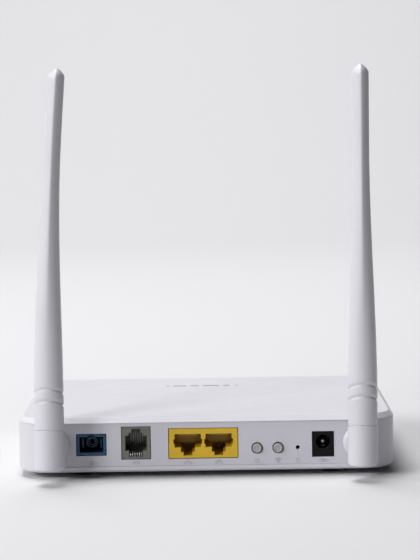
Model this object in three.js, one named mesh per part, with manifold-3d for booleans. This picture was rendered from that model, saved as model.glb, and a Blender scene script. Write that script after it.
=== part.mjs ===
// Optical network terminal: a desk-top fibre gateway with two swivelling antennas.
// Millimetres, +Z up. The ports face -Y and the indicator lights shine out of the +Y wall.
// Pieces are placed from the rear panel: y = 0 is its outer face, x = 0 its middle, and z = 0 the table.
import * as THREE from "three";
import { mergeVertices } from "three/addons/utils/BufferGeometryUtils.js";
import Module from "manifold-3d";

const wasm = await Module();
wasm.setup();

// ---- Driving dimensions -------------------------------------------------------------------------

const GAP = 0.3;                    // clearance between pieces that touch or fit together
const SEAM = 0.06;                  // hairline between the shells of the case

const CASE_WIDTH = 168.4;
const CASE_DEPTH = 118;
const RIM = 0.5;                    // the lid and the tray's lip stand this far proud of the rear panel
const CASE_BOTTOM = 3;              // underside of the tray above the table
const CASE_TOP = 27.3;
const CORNER_RADIUS = 14;
const WALL = 2;
const TOP_CHAMFER = 2.2;
const BOTTOM_CHAMFER = 1;
const TRAY_TOP = 24.8;              // the lid starts one seam higher
const LIP_TOP = 5.4;                // low edge of the tray under the rear panel

const PANEL_HALF_WIDTH = 75.6;
const PANEL_THICKNESS = 2.4;

const FOOT_RADIUS = 5;
const FOOT_X = 56;
const FOOT_Y = [15, 103];
const FOOT_RECESS = 0.8;

const SCREW_X = 74;                 // case screws, outside the board
const SCREW_Y = [21, 101];

const BOARD_TOP = 8.45;
const BOARD_THICKNESS = 1.6;
const BOARD_HALF_WIDTH = 66;
const BOARD_Y = [3.4, 104];
const BOARD_NOTCH_X = 57;           // rear corners of the board make room for the antenna necks
const BOARD_NOTCH_Y = 14;
const BOARD_SCREW_X = 60;
const BOARD_SCREW_Y = [22, 97];

const JACK_FACE = 0.3;              // the sockets' faces sit this far behind the panel's face
const JACK_BOTTOM = BOARD_TOP + GAP;

const FIBRE = { x: -51.05, width: 12.9, low: 10.65, high: 20 };
const PHONE = { x: -31.2, width: 12.6, high: 23.05 };
const LAN = { x: -1.35, width: 30.5, high: 21.95, pitch: 13.7 };
const POWER = { x: 51.8, width: 9.3, high: 19.7, holeZ: 15.3, holeRadius: 3.2 };
const BUTTON_X = { power: 22.5, wifi: 31.8 };
const BUTTON_Z = 12.9;
const BUTTON_RADIUS = 2.15;
const BUTTON_GAP = 0.45;
const RESET_X = 40.6;
const RESET_HOLE_RADIUS = 0.95;

const NECK_X = 68.5;                // antenna neck axis, on the panel
const NECK_Z = 15;
const NECK_RADIUS = 5.5;
const COLLAR = { radius: 8, rise: 2.2, round: 2.4 };     // its edge is domed
const PIN_Y = -13.2;                // tilt pin, in front of the panel
const PIN_RADIUS = 1;
const TONGUE_HALF = 2.1;
const TONGUE_RADIUS = 3.2;
const BASE_RADIUS = 6.65;
const BASE_LOW = -7.9;              // heights on an antenna are counted from its neck axis
const BASE_HIGH = 9.3;              // where the seam between base and blade crosses the axis
const SEAM_SLOPE = 0.176;           // that seam stands higher on the port side
const BLADE_TIP = 166.6;
const LEAN_LEFT = 0.5;              // degrees towards +X as the left antenna stands
const BOW_LEFT = 5.4;               // the left blade's tip stands this far towards +X of its root line
const BOW_START = 28;

// ---- Solid helpers ------------------------------------------------------------------------------

// A closed three.js geometry as a solid that can be joined and cut.
function solid(geometry) {
  const bare = geometry.clone();
  bare.deleteAttribute("normal");
  bare.deleteAttribute("uv");
  const merged = mergeVertices(bare, 1e-4);
  const vertProperties = new Float32Array(merged.attributes.position.array);
  const triVerts = new Uint32Array(merged.index.array);
  return new wasm.Manifold(new wasm.Mesh({ numProp: 3, vertProperties, triVerts }));
}

// A finished solid as a three.js geometry.
function geometryOf(body) {
  const mesh = body.getMesh();
  const geometry = new THREE.BufferGeometry();
  geometry.setAttribute("position", new THREE.BufferAttribute(mesh.vertProperties, 3));
  geometry.setIndex(new THREE.BufferAttribute(mesh.triVerts, 1));
  geometry.computeVertexNormals();
  return geometry;
}

function joined(first, ...others) {
  return others.reduce((sum, other) => sum.add(other), first);
}

function cut(first, ...others) {
  return others.reduce((rest, other) => rest.subtract(other), first);
}

function block(x0, x1, y0, y1, z0, z1) {
  const box = new THREE.BoxGeometry(x1 - x0, y1 - y0, z1 - z0);
  return solid(box.translate((x0 + x1) / 2, (y0 + y1) / 2, (z0 + z1) / 2));
}

// A block by its middle in X and its width.
function bar(x, width, y0, y1, z0, z1) {
  return block(x - width / 2, x + width / 2, y0, y1, z0, z1);
}

function rodX(radius, x0, x1, y, z, sides = 16) {
  const rod = new THREE.CylinderGeometry(radius, radius, x1 - x0, sides).rotateZ(Math.PI / 2);
  return solid(rod.translate((x0 + x1) / 2, y, z));
}

function rodY(radius, y0, y1, x, z, sides = 20) {
  const rod = new THREE.CylinderGeometry(radius, radius, y1 - y0, sides);
  return solid(rod.translate(x, (y0 + y1) / 2, z));
}

function rodZ(radius, z0, z1, x, y, sides = 16) {
  const rod = new THREE.CylinderGeometry(radius, radius, z1 - z0, sides).rotateX(Math.PI / 2);
  return solid(rod.translate(x, y, (z0 + z1) / 2));
}

// A turned piece: points are [radius, height] from the axis round to the axis again.
function turned(points, sides) {
  return new THREE.LatheGeometry(points.map(([r, h]) => new THREE.Vector2(r, h)), sides);
}

// A turned piece standing on Z at x, y.
function turnedZ(points, x, y, sides = 18) {
  return solid(turned(points, sides).rotateX(Math.PI / 2).translate(x, y, 0));
}

// A turned piece lying along Y at x, z.
function turnedY(points, x, z, sides = 20) {
  return solid(turned(points, sides).translate(x, 0, z));
}

// Points of a quarter circle from one angle to another, for profiles.
function arc(cx, cy, radius, from, to, steps) {
  return Array.from({ length: steps + 1 }, (_, i) => {
    const angle = from + ((to - from) * i) / steps;
    return [cx + radius * Math.cos(angle), cy + radius * Math.sin(angle)];
  });
}

// The case outline seen from above, moved inwards by inset.
function caseOutline(inset) {
  const x = CASE_WIDTH / 2 - inset;
  const [y0, y1] = [inset - RIM, CASE_DEPTH - inset];
  const r = CORNER_RADIUS - inset;
  const shape = new THREE.Shape();
  shape.moveTo(-x + r, y0);
  shape.lineTo(x - r, y0);
  shape.absarc(x - r, y0 + r, r, -Math.PI / 2, 0);
  shape.lineTo(x, y1 - r);
  shape.absarc(x - r, y1 - r, r, 0, Math.PI / 2);
  shape.lineTo(-x + r, y1);
  shape.absarc(-x + r, y1 - r, r, Math.PI / 2, Math.PI);
  shape.lineTo(-x, y0 + r);
  shape.absarc(-x + r, y0 + r, r, Math.PI, 1.5 * Math.PI);
  return shape;
}

// An upright prism of the case outline. A chamfer takes both its ends in.
function casePrism(inset, z0, z1, chamfer = 0) {
  const options = { depth: z1 - z0 - 2 * chamfer, curveSegments: 5, bevelEnabled: chamfer > 0 };
  Object.assign(options, { bevelThickness: chamfer, bevelSize: chamfer, bevelOffset: -chamfer });
  options.bevelSegments = 1;
  return solid(new THREE.ExtrudeGeometry(caseOutline(inset), options).translate(0, 0, z0 + chamfer));
}

// ---- Scene helpers ------------------------------------------------------------------------------

const LOOKS = {
  whiteShell: { color: 0xdcdbe2, roughness: 0.45 },
  whitePanel: { color: 0xd2d1d9, roughness: 0.5 },
  rubber: { color: 0x2b2b2d, roughness: 0.9 },
  steel: { color: 0xb9bbc0, roughness: 0.3, metalness: 1 },
  gold: { color: 0xc8a14a, roughness: 0.3, metalness: 1 },
  board: { color: 0x1f5c3a, roughness: 0.5 },
  fibreBlue: { color: 0x1f6fb5, roughness: 0.4 },
  phoneGrey: { color: 0x7f867c, roughness: 0.5 },
  lanYellow: { color: 0xe0b400, roughness: 0.45 },
  black: { color: 0x17171a, roughness: 0.5 },
  buttonGrey: { color: 0xc4c4c8, roughness: 0.45 },
  ceramic: { color: 0xeef0f2, roughness: 0.2 },
  aluminium: { color: 0xa8abb0, roughness: 0.4, metalness: 1 },
  clear: { color: 0xe8f0f0, roughness: 0.1, transparent: true, opacity: 0.6 },
  label: { color: 0xe9e9ea, roughness: 0.7 },
};

const assembly = new THREE.Group();

function look(name) {
  return new THREE.MeshStandardMaterial({ metalness: 0, ...LOOKS[name] });
}

function place(name, body, finish, parent = assembly) {
  const mesh = new THREE.Mesh(geometryOf(body), look(finish));
  mesh.name = name;
  parent.add(mesh);
}

// ---- Case ---------------------------------------------------------------------------------------

const SCREW_HEAD_RADIUS = 2.6;
const SCREW_SHANK_RADIUS = 1.2;
const SCREW_SHOULDER = 6.4;         // what the screw heads pull against
const SCREW_BOSS_TOP = 8.6;
const SCREW_POST_RADIUS = 3.4;
const STANDOFF_RADIUS = 2.6;

const spots = (x, ys) => ys.flatMap((y) => [[-x, y], [x, y]]);
const centred = (count, pitch) => Array.from({ length: count }, (_, i) => (i - (count - 1) / 2) * pitch);
const footSpots = spots(FOOT_X, FOOT_Y);
const screwSpots = spots(SCREW_X, SCREW_Y);
const boardScrewSpots = spots(BOARD_SCREW_X, BOARD_SCREW_Y);

// Indicator windows in the wall opposite the sockets.
const WINDOW = { count: 6, pitch: 9, z: 16, halfWidth: 2.2, halfHeight: 0.8 };
const windowXs = centred(WINDOW.count, WINDOW.pitch);

function keyholes() {
  const [spacing, y] = [35, 60];
  const [headRadius, slotHalf, slotLength] = [3.6, 1.9, 8];
  const [z0, z1] = [CASE_BOTTOM - 1, CASE_BOTTOM + WALL + 1];
  return [-spacing, spacing].flatMap((x) => [
    rodZ(headRadius, z0, z1, x, y),
    block(x - slotHalf, x + slotHalf, y, y + slotLength, z0, z1),
    rodZ(slotHalf, z0, z1, x, y + slotLength, 12),
  ]);
}

function floorVents() {
  const [count, pitch, width, y0, y1] = [8, 6, 2.4, 74, 96];
  return centred(count, pitch).map((x) => bar(x, width, y0, y1, CASE_BOTTOM - 1, CASE_BOTTOM + WALL + 1));
}

function sideVents() {
  const [count, pitch, half, firstY, z0, z1] = [10, 6, 1, 33, 9, 20];
  return Array.from({ length: count }, (_, i) => {
    const y = firstY + i * pitch;
    return block(-CASE_WIDTH, CASE_WIDTH, y - half, y + half, z0, z1);
  });
}

function bottomCase() {
  const inside = CASE_BOTTOM + WALL;
  const above = CASE_TOP + 10;
  let tray = casePrism(0, CASE_BOTTOM, above, BOTTOM_CHAMFER);
  tray = cut(tray, block(-CASE_WIDTH, CASE_WIDTH, -1, CASE_DEPTH + 1, TRAY_TOP, above + 1));
  tray = cut(tray, casePrism(WALL, inside, above));
  const opening = PANEL_HALF_WIDTH + SEAM;
  tray = cut(tray, block(-opening, opening, -1, 2 * WALL + GAP, LIP_TOP, above));
  const bosses = screwSpots.map(([x, y]) => rodZ(4.6, inside - 1, SCREW_BOSS_TOP, x, y));
  const standoffTop = BOARD_TOP - BOARD_THICKNESS - GAP;
  const standoffs = boardScrewSpots.map(([x, y]) => {
    return rodZ(STANDOFF_RADIUS, inside - 1, standoffTop, x, y, 16);
  });
  tray = joined(tray, ...bosses, ...standoffs);
  const heads = screwSpots.map(([x, y]) => {
    return rodZ(SCREW_HEAD_RADIUS + GAP, CASE_BOTTOM - 1, SCREW_SHOULDER, x, y);
  });
  const shanks = screwSpots.map(([x, y]) => {
    return rodZ(SCREW_SHANK_RADIUS + GAP, CASE_BOTTOM, SCREW_BOSS_TOP + 1, x, y, 16);
  });
  const pilots = boardScrewSpots.map(([x, y]) => rodZ(1.2, inside, standoffTop + 1, x, y, 12));
  const recesses = footSpots.map(([x, y]) => {
    return rodZ(FOOT_RADIUS + GAP, CASE_BOTTOM - 1, CASE_BOTTOM + FOOT_RECESS, x, y);
  });
  const plate = block(-30.3, 30.3, 24.7, 50.3, CASE_BOTTOM - 1, CASE_BOTTOM + FOOT_RECESS);
  const windows = windowXs.map((x) => {
    const [hx, hz] = [WINDOW.halfWidth + GAP, WINDOW.halfHeight + GAP];
    return block(x - hx, x + hx, CASE_DEPTH - WALL - 1, CASE_DEPTH + 1, WINDOW.z - hz, WINDOW.z + hz);
  });
  tray = cut(tray, ...heads, ...shanks, ...pilots, ...recesses, plate, ...windows);
  return cut(tray, ...keyholes(), ...floorVents(), ...sideVents());
}

function topCover() {
  const low = TRAY_TOP + SEAM;
  const ceiling = CASE_TOP - WALL;
  const below = low - 10;
  let lid = casePrism(0, below, CASE_TOP, TOP_CHAMFER);
  lid = cut(lid, block(-CASE_WIDTH, CASE_WIDTH, -1, CASE_DEPTH + 1, below - 1, low));
  const pocket = casePrism(WALL + 0.6, below, ceiling);
  lid = cut(lid, pocket);
  // A thin tongue locates the lid inside the side and front walls.
  const tongueDepth = 2.2;
  const tongue = cut(
    casePrism(WALL + GAP, low - tongueDepth, ceiling),
    casePrism(WALL + GAP + 1.2, low - tongueDepth - 1, ceiling + 1),
    block(-CASE_WIDTH, CASE_WIDTH, -1, CORNER_RADIUS + 4, low - tongueDepth - 1, low),
  );
  lid = joined(lid, tongue);
  const postLow = SCREW_BOSS_TOP + GAP;
  const posts = screwSpots.map(([x, y]) => rodZ(SCREW_POST_RADIUS, postLow, ceiling + 0.5, x, y));
  lid = joined(lid, ...posts);
  const pilots = screwSpots.map(([x, y]) => rodZ(SCREW_SHANK_RADIUS + GAP, postLow - 1, 20, x, y, 16));
  return cut(lid, ...pilots);
}

function rearPanel() {
  const [low, high] = [LIP_TOP + SEAM, TRAY_TOP];
  const plate = block(-PANEL_HALF_WIDTH, PANEL_HALF_WIDTH, 0, PANEL_THICKNESS, low, high);
  const panel = plate.intersect(casePrism(0, low - 1, high + 1));
  const [y0, y1] = [-1, PANEL_THICKNESS + 1];
  const socket = (port, portLow) => {
    return bar(port.x, port.width + 2 * GAP, y0, y1, portLow - GAP, port.high + GAP);
  };
  const round = (radius, x, z) => rodY(radius, y0, y1, x, z);
  return cut(
    panel,
    socket(FIBRE, FIBRE.low),
    socket(PHONE, JACK_BOTTOM),
    socket(LAN, JACK_BOTTOM),
    socket(POWER, JACK_BOTTOM),
    round(BUTTON_RADIUS + BUTTON_GAP, BUTTON_X.power, BUTTON_Z),
    round(BUTTON_RADIUS + BUTTON_GAP, BUTTON_X.wifi, BUTTON_Z),
    round(RESET_HOLE_RADIUS, RESET_X, BUTTON_Z),
    round(NECK_RADIUS + GAP, -NECK_X, NECK_Z),
    round(NECK_RADIUS + GAP, NECK_X, NECK_Z),
  );
}

function foot(x, y) {
  const top = CASE_BOTTOM + FOOT_RECESS - GAP;
  const r = FOOT_RADIUS;
  return turnedZ([[0, 0], [r - 0.6, 0], [r, 0.6], [r, top], [0, top]], x, y);
}

function caseScrew(x, y) {
  const [headLow, headHigh] = [SCREW_SHOULDER - GAP - 2.1, SCREW_SHOULDER - GAP];
  const head = rodZ(SCREW_HEAD_RADIUS, headLow, headHigh, x, y);
  const shank = rodZ(SCREW_SHANK_RADIUS, headHigh - 0.5, 18, x, y, 12);
  const slots = [0, Math.PI / 2].map((turn) => {
    const slot = new THREE.BoxGeometry(2.8, 0.7, 2).rotateZ(turn);
    return solid(slot.translate(x, y, headLow));
  });
  return cut(joined(head, shank), ...slots);
}

place("bottom_case", bottomCase(), "whiteShell");
place("top_cover", topCover(), "whiteShell");
place("rear_panel", rearPanel(), "whitePanel");
footSpots.forEach(([x, y], i) => place(`rubber_foot_${i + 1}`, foot(x, y), "rubber"));
screwSpots.forEach(([x, y], i) => place(`case_screw_${i + 1}`, caseScrew(x, y), "steel"));
place("rating_plate", block(-30, 30, 25, 50, CASE_BOTTOM, CASE_BOTTOM + FOOT_RECESS - GAP), "label");

// ---- Main board and what stands on it -----------------------------------------------------------

function mainBoard() {
  const [y0, y1] = BOARD_Y;
  const low = BOARD_TOP - BOARD_THICKNESS;
  const sheet = block(-BOARD_HALF_WIDTH, BOARD_HALF_WIDTH, y0, y1, low, BOARD_TOP);
  const notches = [-1, 1].map((side) => {
    const [a, b] = [side * BOARD_NOTCH_X, side * CASE_WIDTH / 2];
    return block(Math.min(a, b), Math.max(a, b), 0, BOARD_NOTCH_Y, low - 1, BOARD_TOP + 1);
  });
  const holes = boardScrewSpots.map(([x, y]) => rodZ(1.3, low - 1, BOARD_TOP + 1, x, y, 12));
  return cut(sheet, ...notches, ...holes);
}

function boardScrew(x, y) {
  const head = rodZ(2.1, BOARD_TOP + GAP, BOARD_TOP + GAP + 1.4, x, y, 16);
  const shank = rodZ(0.9, CASE_BOTTOM + WALL + GAP, BOARD_TOP + GAP + 0.2, x, y, 12);
  const slot = block(x - 1.4, x + 1.4, y - 0.3, y + 0.3, BOARD_TOP + GAP + 0.8, BOARD_TOP + GAP + 2);
  return cut(joined(head, shank), slot);
}

place("main_board", mainBoard(), "board");
boardScrewSpots.slice(0, 1).concat(boardScrewSpots.slice(3)).forEach(([x, y], i) => {
  place(`board_screw_${i + 1}`, boardScrew(x, y), "steel");
});

// A comb of contact wires that starts near the mouth and slopes back to the bar that joins them
// at the rear wall of the socket. rise is how far the wires climb, and is negative where they come down.
function contactComb(x, count, y0, z, wall, rise) {
  const [pitch, wire, barDepth] = [1.02, 0.42, 1];
  const span = (count - 1) * pitch + wire;
  const length = wall - GAP - barDepth / 2 - y0;
  const slope = Math.atan2(rise, length);
  const wires = Array.from({ length: count }, (_, i) => {
    const wireX = x + (i - (count - 1) / 2) * pitch;
    const strip = new THREE.BoxGeometry(wire, Math.hypot(length, rise), 0.35).rotateX(slope);
    return solid(strip.translate(wireX, y0 + length / 2, z + rise / 2));
  });
  const [end, endZ] = [y0 + length, z + rise];
  const half = barDepth / 2;
  return joined(bar(x, span + 0.8, end - half, end + half, endZ - 0.35, endZ + 0.35), ...wires);
}

const LAN_CAVITY = { width: 11.7, low: 13.5, high: 19.5, end: 13.3, latchEnd: 18.3 };
const lanXs = [LAN.x - LAN.pitch / 2, LAN.x + LAN.pitch / 2];

function lanJack() {
  const back = JACK_FACE + 20;
  const mouth = -1;
  const { width, low, high, end, latchEnd } = LAN_CAVITY;
  const body = bar(LAN.x, LAN.width, JACK_FACE, back, JACK_BOTTOM, LAN.high);
  const cavities = lanXs.flatMap((x) => [
    bar(x, width, mouth, end, low, high),
    bar(x, width + 1.1, mouth, end, low + 1.4, low + 3.7),
    bar(x, 6.2, mouth, latchEnd, low - 2.1, low + 0.1),
    bar(x, 4, mouth, latchEnd, low - 3.7, low),
  ]);
  return cut(body, ...cavities);
}

// The wires lie in a channel between two shoulders, below the plug's part of the socket.
const PHONE_CAVITY = { width: 9.6, low: 12.4, high: 19.15, end: 12.3, channel: 6.2, channelLow: 9.4 };

function phoneJack() {
  const mouth = -1;
  const { width, low, high, end, channel, channelLow } = PHONE_CAVITY;
  const body = bar(PHONE.x, PHONE.width, JACK_FACE, JACK_FACE + 17, JACK_BOTTOM, PHONE.high);
  return cut(
    body,
    bar(PHONE.x, width, mouth, end, low, high),
    bar(PHONE.x, channel, mouth, end, channelLow, low + 0.1),
    bar(PHONE.x, 6.6, mouth, end, high - 0.1, high + 1.35),
    bar(PHONE.x, 4, mouth, end, high, high + 3.1),
  );
}

const SLEEVE = { z: 15.4, postRadius: 2.6, outer: 1.6, inner: 1.25, front: 8, back: 15 };

function fibreAdapter() {
  const [back, wallBack] = [26, 16];
  const { x, width, low, high } = FIBRE;
  const frame = 1.15;
  const body = bar(x, width, JACK_FACE, back, low, high);
  const mouth = bar(x, width - 2 * frame, -1, wallBack, low + frame, high - frame);
  const key = bar(x, 2.8, -1, wallBack, high - frame - 0.1, high - 0.5);
  const shell = cut(body, mouth, key);
  const post = rodY(SLEEVE.postRadius, SLEEVE.front - 1, wallBack + 1, x, SLEEVE.z);
  const [hookLow, hookHigh] = [low + frame + 1, high - frame - 1.6];
  const hooks = [-4.1, 4.1].map((side) => bar(x + side, 0.9, 6, wallBack + 1, hookLow, hookHigh));
  const legs = [[3, 7], [19, 23]].map(([y0, y1]) => bar(x, width - 1, y0, y1, JACK_BOTTOM, low + 1));
  const bore = rodY(SLEEVE.outer + GAP, SLEEVE.front - 2, SLEEVE.back + GAP, x, SLEEVE.z);
  return cut(joined(shell, post, ...hooks, ...legs), bore);
}

function ferruleSleeve() {
  const { z, outer, inner, front, back } = SLEEVE;
  return cut(
    rodY(outer, front, back, FIBRE.x, z, 20),
    rodY(inner, front - 1, back + 1, FIBRE.x, z, 20),
    bar(FIBRE.x, 0.4, front - 1, back + 1, z, z + 2),
  );
}

function opticalTransceiver() {
  const [front, back] = [26 + GAP, 48];
  const nose = rodY(3.1, front, front + 6, FIBRE.x, SLEEVE.z);
  const can = bar(FIBRE.x, 12, front + 5, back, 11, 20);
  const legs = bar(FIBRE.x, 9, front + 8, back - 2, JACK_BOTTOM, 12);
  return joined(nose, can, legs);
}

const POWER_DEPTH = 9.5;

function powerJack() {
  const { x, width, high, holeZ, holeRadius } = POWER;
  const body = bar(x, width, JACK_FACE, JACK_FACE + 14, JACK_BOTTOM, high);
  return cut(body, rodY(holeRadius, -1, JACK_FACE + POWER_DEPTH, x, holeZ, 28));
}

function powerPin() {
  const tip = JACK_FACE + 1;
  const end = JACK_FACE + POWER_DEPTH - GAP;
  return turnedY([[0, tip], [0.6, tip], [1, tip + 0.5], [1, end], [0, end]], POWER.x, POWER.holeZ, 16);
}

function powerSpring() {
  const leaf = new THREE.BoxGeometry(1.6, 6, 0.3).rotateX(-0.05);
  return solid(leaf.translate(POWER.x, JACK_FACE + 5.5, POWER.holeZ - POWER.holeRadius + 0.75));
}

const SWITCH = { front: 6.8, back: 14, half: 3.6, stem: 1, stemEnd: 11 };

function pushSwitch(x) {
  const { front, back, half, stem } = SWITCH;
  const body = bar(x, 2 * half, front, back, JACK_BOTTOM, BUTTON_Z + half);
  return cut(body, rodY(stem + GAP, front - 1, back - 0.8, x, BUTTON_Z, 16));
}

// A round cap with a retaining flange behind the panel and a stem into its switch.
function pushButton(x) {
  const r = BUTTON_RADIUS;
  const [face, flange, flangeBack] = [-1.2, PANEL_THICKNESS + GAP, PANEL_THICKNESS + GAP + 0.8];
  const points = [
    [0, face], [r * 0.5, face + 0.06], [r - 0.35, face + 0.25], [r, face + 0.6],
    [r, flange], [r + 0.9, flange], [r + 0.9, flangeBack], [SWITCH.stem, flangeBack],
    [SWITCH.stem, SWITCH.stemEnd], [0, SWITCH.stemEnd],
  ];
  return turnedY(points, x, BUTTON_Z);
}

const RESET = { plungerFront: 4.4, plungerBack: 8.2, plungerRadius: 1.2, bodyFront: 5.6, bodyBack: 10 };

function resetSwitch() {
  const { bodyFront, bodyBack, plungerRadius } = RESET;
  const body = bar(RESET_X, 6, bodyFront, bodyBack, JACK_BOTTOM, BUTTON_Z + 3);
  return cut(body, rodY(plungerRadius + GAP, bodyFront - 1, bodyBack - 0.6, RESET_X, BUTTON_Z, 16));
}

place("rj45_jack", lanJack(), "lanYellow");
lanXs.forEach((x, i) => {
  place(`rj45_contacts_${i + 1}`, contactComb(x, 8, 2.4, 18.85, LAN_CAVITY.end, -0.7), "gold");
});
place("rj11_jack", phoneJack(), "phoneGrey");
place("rj11_contacts", contactComb(PHONE.x, 6, 1.6, 9.85, PHONE_CAVITY.end, 3.3), "steel");
place("sc_adapter", fibreAdapter(), "fibreBlue");
place("ferrule_sleeve", ferruleSleeve(), "ceramic");
place("optical_transceiver", opticalTransceiver(), "steel");
place("dc_jack", powerJack(), "black");
place("dc_pin", powerPin(), "steel");
place("dc_spring", powerSpring(), "steel");
place("power_switch", pushSwitch(BUTTON_X.power), "black");
place("power_button", pushButton(BUTTON_X.power), "buttonGrey");
place("wifi_switch", pushSwitch(BUTTON_X.wifi), "black");
place("wifi_button", pushButton(BUTTON_X.wifi), "buttonGrey");
place("reset_switch", resetSwitch(), "black");
const { plungerFront, plungerBack, plungerRadius } = RESET;
place("reset_plunger", rodY(plungerRadius, plungerFront, plungerBack, RESET_X, BUTTON_Z, 16), "black");

// A flat chip or can by its middle, plan size and height.
function chip(x, y, width, depth, height) {
  return bar(x, width, y - depth / 2, y + depth / 2, JACK_BOTTOM, JACK_BOTTOM + height);
}

const PROCESSOR = { x: 6, y: 62, size: 16, height: 1.3 };

function heatSink() {
  const { x, y, size, height } = PROCESSOR;
  const low = JACK_BOTTOM + height + GAP;
  const [half, baseHeight, finHeight, finCount, finHalf] = [size, 1.8, 8, 9, 0.55];
  const fins = Array.from({ length: finCount }, (_, i) => {
    const finX = x - half + finHalf + (i * 2 * (half - finHalf)) / (finCount - 1);
    return block(finX - finHalf, finX + finHalf, y - half, y + half, low + 1, low + baseHeight + finHeight);
  });
  return joined(block(x - half, x + half, y - half, y + half, low, low + baseHeight), ...fins);
}

function shieldCan(x, y, width, depth, height) {
  const can = chip(x, y, width, depth, height);
  const inside = [x - width / 2 + 0.5, x + width / 2 - 0.5, y - depth / 2 + 0.5, y + depth / 2 - 0.5];
  return cut(can, block(...inside, JACK_BOTTOM - 1, JACK_BOTTOM + height - 0.5));
}

function capacitor(x, y, radius, height) {
  const [low, high] = [JACK_BOTTOM, JACK_BOTTOM + height];
  const points = [
    [0, low], [radius, low], [radius, low + 0.8], [radius - 0.35, low + 1.3], [radius, low + 1.8],
    [radius, high - 0.4], [radius - 0.4, high], [0, high],
  ];
  return turnedZ(points, x, y, 20);
}

// A bar behind the indicator windows, with a lens in each and a leg down to each light.
function lightGuide() {
  const [y0, y1] = [98, CASE_DEPTH - WALL - GAP];
  const half = (WINDOW.pitch * (WINDOW.count - 1)) / 2 + WINDOW.halfWidth + 1;
  const beam = block(-half, half, y0, y1, WINDOW.z - 1.6, WINDOW.z + 1.6);
  const lenses = windowXs.map((x) => {
    const [hx, hz] = [WINDOW.halfWidth, WINDOW.halfHeight];
    return block(x - hx, x + hx, y1 - 0.5, CASE_DEPTH - 0.1, WINDOW.z - hz, WINDOW.z + hz);
  });
  const legs = windowXs.map((x) => block(x - 1.5, x + 1.5, y0, y0 + 3, JACK_BOTTOM + 1.2, WINDOW.z));
  return joined(beam, ...lenses, ...legs);
}

const { x: chipX, y: chipY, size: chipSize, height: chipHeight } = PROCESSOR;
place("processor", chip(chipX, chipY, chipSize, chipSize, chipHeight), "black");
place("heat_sink", heatSink(), "aluminium");
place("memory_chip", chip(36, 62, 9, 13, 1.1), "black");
place("wifi_shield", shieldCan(-38, 74, 36, 28, 3.2), "steel");
place("lan_transformer", chip(LAN.x, 34, 24, 11, 6), "black");
place("phone_line_chip", chip(-29, 32, 8, 8, 1), "black");
place("capacitor_1", capacitor(44, 34, 4, 10), "black");
place("capacitor_2", capacitor(34, 34, 4, 10), "black");
place("power_inductor", capacitor(44, 46, 5, 5), "aluminium");
place("light_guide", lightGuide(), "clear");

// ---- Antennas -----------------------------------------------------------------------------------

const SPIGOT_RADIUS = 4.9;
const SPIGOT_LOW = 5.2;
const ROOT_RADIUS = 6.45;
const TAPER = { from: 22, to: 130, halfX: 2.85, halfY: 2.4 };
const RIDGE = { from: 52, to: 115, sharpest: 1.45 };    // where the round rod turns into a two-edged blade
const TIP = { height: 4.2, narrowing: 0.85 };

// Half width (X) and half depth (Y) of the blade at a height.
function bladeHalves(h) {
  const t = THREE.MathUtils.smoothstep(h, TAPER.from, TAPER.to);
  return [ROOT_RADIUS - TAPER.halfX * t, ROOT_RADIUS - TAPER.halfY * t];
}

// The section is |x/a|^n + |y/b|^n = 1: round at n = 2, with a ridge front and back below that.
function bladeRadius(angle, h) {
  const [halfX, halfY] = bladeHalves(h);
  const t = THREE.MathUtils.clamp((h - RIDGE.from) / (RIDGE.to - RIDGE.from), 0, 1);
  const n = 2 - (2 - RIDGE.sharpest) * (1 - (1 - t) ** 2);
  return (Math.abs(Math.cos(angle) / halfX) ** n + Math.abs(Math.sin(angle) / halfY) ** n) ** (-1 / n);
}

// Moves a geometry sideways along the bow of its antenna.
function bowed(geometry, bow) {
  const points = geometry.attributes.position;
  for (let i = 0; i < points.count; i += 1) {
    const along = Math.max(0, (points.getZ(i) - BOW_START) / (BLADE_TIP - BOW_START));
    points.setX(i, points.getX(i) + bow * along * along);
  }
  return geometry;
}

// A round rod along Z whose surface is then shaped by its height and angle.
function shapedRod(heights, sides, radiusAt) {
  const rod = new THREE.CylinderGeometry(1, 1, 1, sides, heights.length - 1).rotateX(Math.PI / 2);
  const points = rod.attributes.position;
  for (let i = 0; i < points.count; i += 1) {
    const [x, y, z] = [points.getX(i), points.getY(i), points.getZ(i)];
    const level = Math.round((z + 0.5) * (heights.length - 1));
    const h = heights[level];
    const angle = Math.atan2(y, x);
    const r = Math.hypot(x, y) * radiusAt(angle, h);
    points.setXYZ(i, r * Math.cos(angle), PIN_Y + r * Math.sin(angle), h);
  }
  return rod;
}

function levels(from, to, count) {
  return Array.from({ length: count + 1 }, (_, i) => from + ((to - from) * i) / count);
}

// A round tool along the antenna's axis that follows its bow.
function bowedRod(radius, from, to, bow, sides = 8) {
  return solid(bowed(shapedRod(levels(from, to, 5), sides, () => radius), bow));
}

// A slab across the antenna's axis between two heights. It stands higher on the port side.
function leaningSlab(from, to, slope) {
  const tilt = Math.atan(slope);
  const slab = new THREE.BoxGeometry(20, 30, (to - from) * Math.cos(tilt)).rotateX(-tilt);
  return solid(slab.translate(0, PIN_Y, (from + to) / 2));
}

const GROOVE = { heights: [20.6, 25.7], slope: 0.485, width: 1.1, depth: 0.5 };

function leaningGroove(height) {
  const half = GROOVE.width / 2;
  const core = rodZ(bladeHalves(height)[0] - GROOVE.depth, height - 20, height + 20, 0, PIN_Y, 24);
  return cut(leaningSlab(height - half, height + half, GROOVE.slope), core);
}

const BLADE_SIDES = 24;
const FEED_BORE = { radius: 3.1, to: 56 };
const MAST_BORE = { radius: 1.9, from: 50, to: 150 };

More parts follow.
